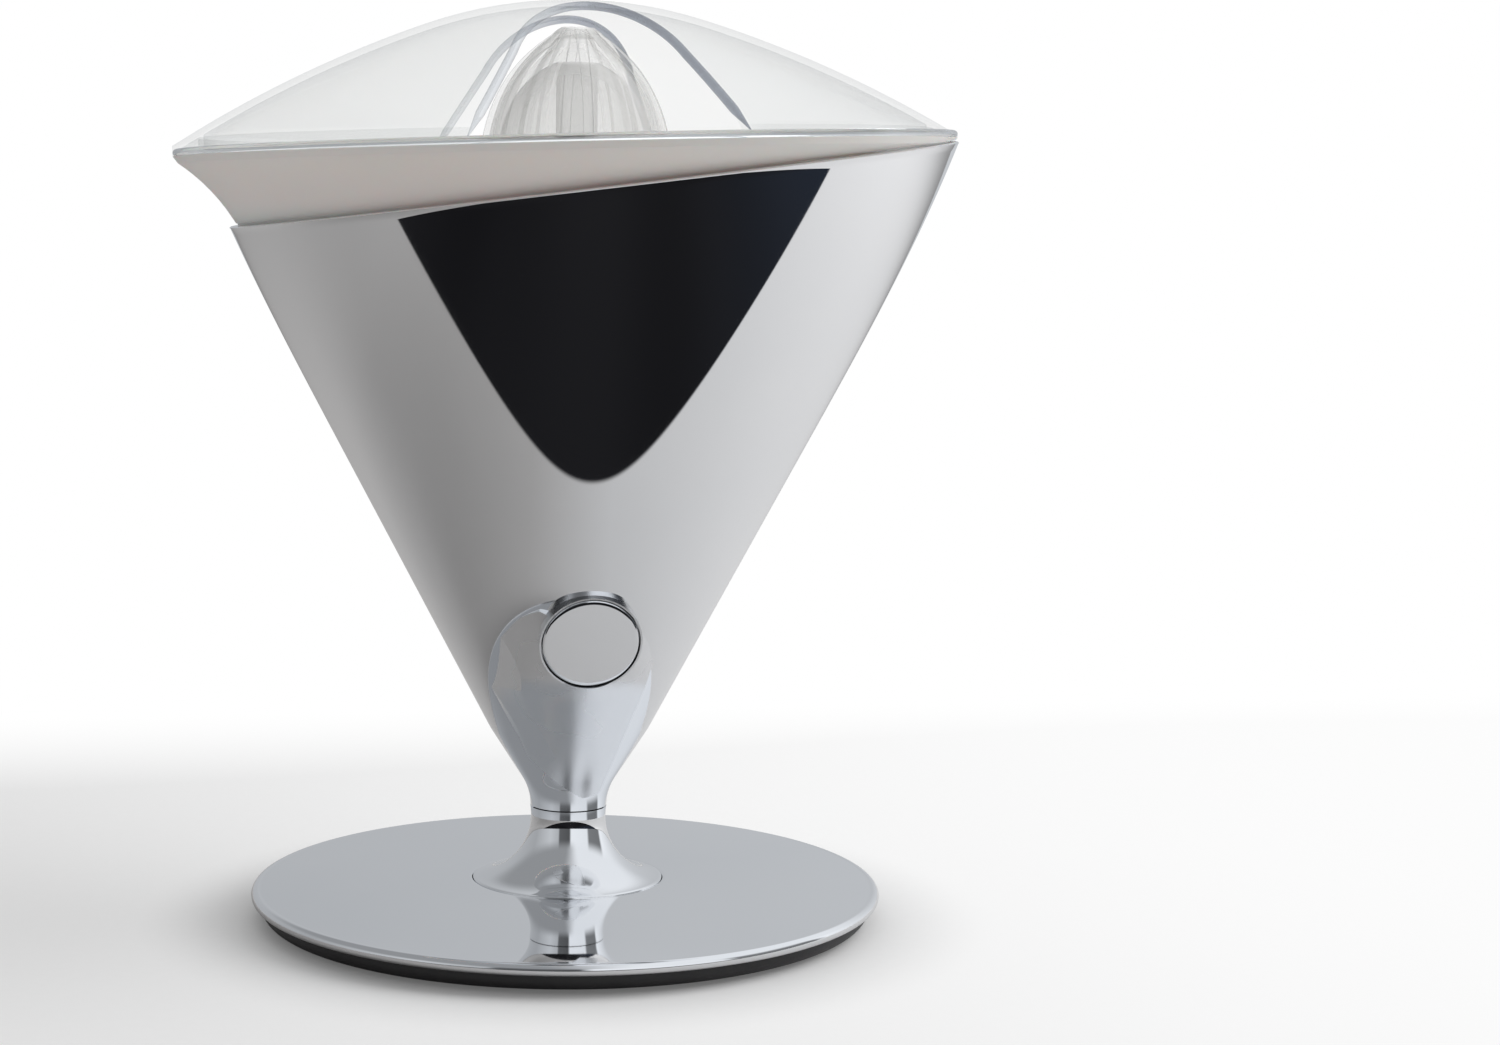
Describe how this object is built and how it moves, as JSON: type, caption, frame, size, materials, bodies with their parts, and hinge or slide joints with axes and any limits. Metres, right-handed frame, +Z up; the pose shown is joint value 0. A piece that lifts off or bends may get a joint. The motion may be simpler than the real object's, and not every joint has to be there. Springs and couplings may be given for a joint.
{
  "type": "citrus press juicer",
  "caption": "Electric citrus press: mirror cone on a slim stem and round plate, white pouring jug, clear domed lid over a ribbed reamer, push button on the front tongue.",
  "frame": {"origin": "on the table, under the drive axis", "axes": "+Z up along the drive axis, -Y to the front where the push button is, -X to the jug's pouring lip"},
  "size_m": [0.2634, 0.2626, 0.3137],
  "materials": {
    "chrome_plate": "bright mirror chrome plating",
    "black_plastic": "satin black moulding",
    "feet_rubber": "soft black rubber",
    "steel": "zinc plated steel",
    "brass_bush": "sintered bronze",
    "white_plastic": "smooth off-white moulding",
    "board": "green circuit board",
    "rotor_iron": "lacquered laminations",
    "clear_plastic": "clear transparent moulding",
    "frosted_plastic": "translucent clear moulding"
  },
  "bodies": {
    "housing": {"rubber_foot_ring": "feet_rubber", "under_base": "black_plastic", "ballast_ring": "steel", "base_screws": "steel", "base_plate": "chrome_plate", "pedestal_foot": "chrome_plate", "tie_rod": "steel", "tie_nuts": "steel", "cord_grommet": "black_plastic", "cone_shell": "chrome_plate", "front_tongue": "chrome_plate", "button_guide": "black_plastic", "button_spring": "steel", "button_switch": "black_plastic", "switch_bracket": "steel", "circuit_board": "board", "terminal_block": "black_plastic", "motor_can": "steel", "motor_end_cap": "white_plastic", "motor_bearing": "brass_bush", "motor_screws": "steel", "gear_plate": "steel", "gear_posts": "steel", "compound_axle": "steel", "hub_bush": "brass_bush", "gearbox_cover": "steel", "deck_screws": "steel", "start_switch": "black_plastic", "jug_seat": "white_plastic", "lower_shaft_bush": "brass_bush", "upper_shaft_bush": "brass_bush", "shaft_seal": "feet_rubber"},
    "power_button": {"power_button": "chrome_plate"},
    "motor_rotor": {"motor_rotor": "rotor_iron"},
    "compound_gear": {"compound_gear": "white_plastic"},
    "output_gear": {"output_gear": "white_plastic", "press_return_spring": "steel"},
    "drive_shaft": {"drive_shaft": "steel"},
    "reamer": {"reamer": "frosted_plastic"},
    "juice_jug": {"juice_jug": "white_plastic"},
    "strainer": {"strainer": "white_plastic"},
    "lid": {"lid": "clear_plastic"}
  },
  "joints": [
    {"name": "button_press", "type": "slide", "parent": "housing", "child": "power_button", "axis": [0, 0.9367, 0.3502], "range_m": [0, 0.0015], "stiffness_N_per_m": 900, "springref_m": -0.001, "deforming": ["button_spring"]},
    {"name": "output_spin", "type": "hinge", "parent": "housing", "child": "output_gear", "pos_m": [0, 0, 0.139], "axis": [0, 0, 1], "continuous": true},
    {"name": "compound_spin", "type": "hinge", "parent": "housing", "child": "compound_gear", "pos_m": [0.024, 0, 0.132], "axis": [0, 0, 1], "continuous": true},
    {"name": "rotor_spin", "type": "hinge", "parent": "housing", "child": "motor_rotor", "pos_m": [0, 0, 0.1], "axis": [0, 0, 1], "continuous": true},
    {"name": "shaft_press", "type": "slide", "parent": "output_gear", "child": "drive_shaft", "axis": [0, 0, 1], "range_m": [-0.003, 0], "stiffness_N_per_m": 2500, "springref_m": 0.002, "deforming": ["press_return_spring"]},
    {"name": "reamer_lift", "type": "slide", "parent": "drive_shaft", "child": "reamer", "axis": [0, 0, 1], "range_m": [0, 0.16]},
    {"name": "jug_lift", "type": "slide", "parent": "housing", "child": "juice_jug", "axis": [0, 0, 1], "range_m": [0, 0.16]},
    {"name": "strainer_lift", "type": "slide", "parent": "juice_jug", "child": "strainer", "axis": [0, 0, 1], "range_m": [0, 0.1]},
    {"name": "lid_lift", "type": "slide", "parent": "strainer", "child": "lid", "axis": [0, 0, 1], "range_m": [0, 0.12]}
  ],
  "couplings": [
    {"joint": "compound_spin", "follows": "output_spin", "ratio": -3},
    {"joint": "rotor_spin", "follows": "output_spin", "ratio": 9},
    {"joint": "reamer_lift", "follows": "jug_lift", "ratio": 1}
  ]
}
